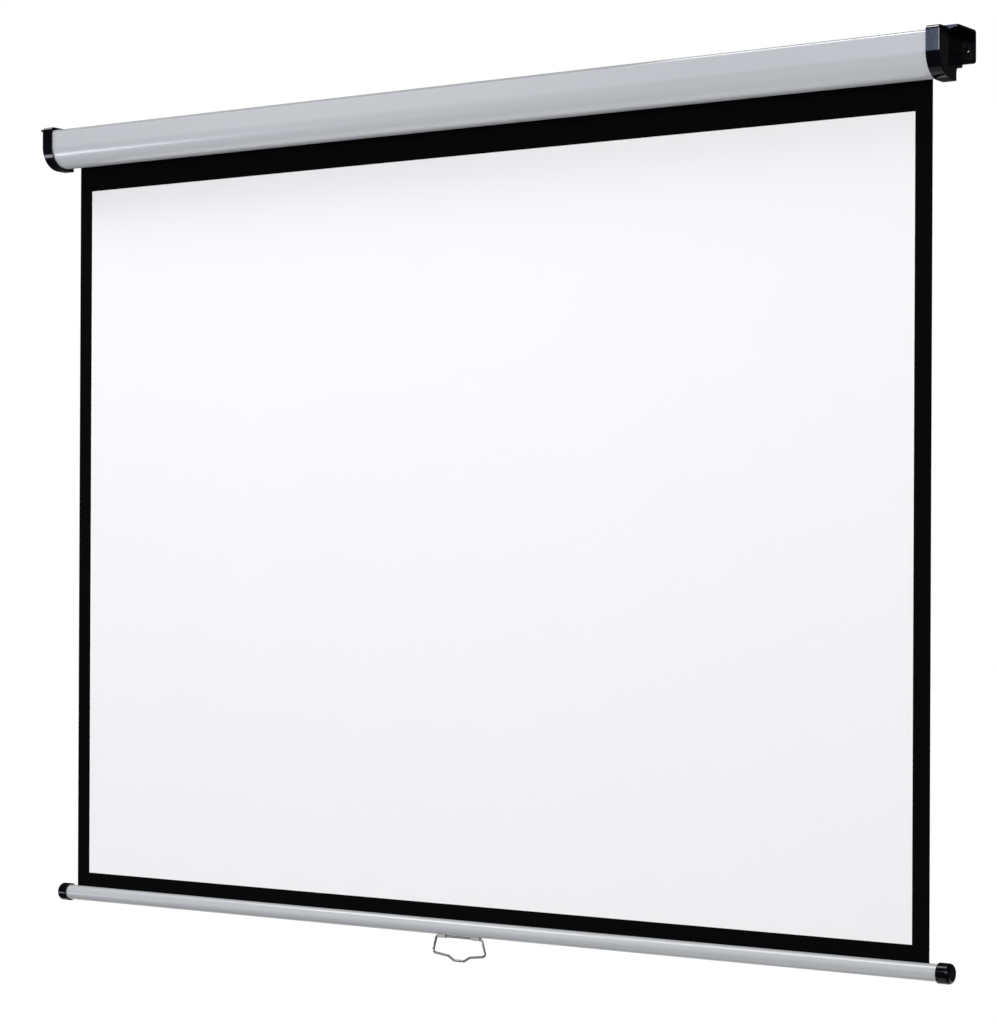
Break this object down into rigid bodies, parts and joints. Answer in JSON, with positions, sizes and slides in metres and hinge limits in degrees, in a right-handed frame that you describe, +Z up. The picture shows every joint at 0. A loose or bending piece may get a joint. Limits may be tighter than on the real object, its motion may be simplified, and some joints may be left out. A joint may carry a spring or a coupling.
{
  "type": "pull-down projector screen",
  "caption": "Wall or ceiling mounted pull-down projector screen: slim silver case with black end caps, spring roller, black-bordered white cloth, weighted bottom bar and wire pull handle.",
  "frame": {"origin": "middle of the case's flat back, on the wall plane, halfway along the case and halfway up its back", "axes": "+X to the right along the screen as a viewer sees it, +Y into the wall, +Z up"},
  "size_m": [1.6066, 0.069, 1.2703],
  "materials": {
    "case_silver": "silver-grey lacquer, satin, faint metallic flake",
    "bar_silver": "silver-grey satin anodised",
    "black_plastic": "moulded, near-black, polished, fine moulding ripple",
    "white_plastic": "moulded nylon, natural white",
    "zinc": "bright zinc plate",
    "steel": "machined, oiled",
    "spring_steel": "dark oil-tempered wire",
    "nickel": "bright nickel plate",
    "black_cloth": "black matt coating on woven glass cloth",
    "white_coat": "matt white projection coating, fine embossed grain"
  },
  "bodies": {
    "housing": {"case": "case_silver", "end_cap_left": "black_plastic", "end_cap_right": "black_plastic", "cap_screw_left": "zinc", "cap_screw_right": "zinc", "idle_bush": "white_plastic", "spring_shaft": "steel", "torsion_spring": "spring_steel", "spring_collar": "steel", "ratchet_disc": "steel", "fabric_sheet": "black_cloth", "image_coat": "white_coat"},
    "roller": {"roller_tube": "zinc", "fabric_wraps": "black_cloth", "idle_plug": "white_plastic", "idle_pin": "zinc", "lock_plug": "zinc", "spring_plug": "white_plastic", "pawl_pin_rear": "steel", "pawl_pin_front": "steel"},
    "rear_dog": {"pawl_rear": "steel"},
    "front_dog": {"pawl_front": "steel"},
    "bar": {"bottom_bar": "bar_silver", "hem_rod": "white_plastic", "bar_cap_left": "black_plastic", "bar_cap_right": "black_plastic", "handle_strap_left": "nickel", "handle_strap_right": "nickel"},
    "handle": {"pull_handle": "nickel"}
  },
  "joints": [
    {"name": "bar_slide", "type": "slide", "parent": "housing", "child": "bar", "axis": [0, 0, 1], "range_m": [0, 1.14], "deforming": ["fabric_sheet", "image_coat"]},
    {"name": "roller_spin", "type": "hinge", "parent": "housing", "child": "roller", "pos_m": [0, -0.033, -0.009], "axis": [1, 0, 0], "range_deg": [0, 3421]},
    {"name": "pawl_rear_pivot", "type": "hinge", "parent": "roller", "child": "rear_dog", "pos_m": [0.7616, -0.0208, -0.009], "axis": [1, 0, 0], "range_deg": [0, 20]},
    {"name": "pawl_front_pivot", "type": "hinge", "parent": "roller", "child": "front_dog", "pos_m": [0.7616, -0.0452, -0.009], "axis": [1, 0, 0], "range_deg": [0, 20]},
    {"name": "handle_swing", "type": "hinge", "parent": "bar", "child": "handle", "pos_m": [0, -0.016, -1.2101], "axis": [1, 0, 0], "range_deg": [-85, 85]}
  ],
  "couplings": [
    {"joint": "roller_spin", "follows": "bar_slide", "rad_per_m": 52.36}
  ]
}
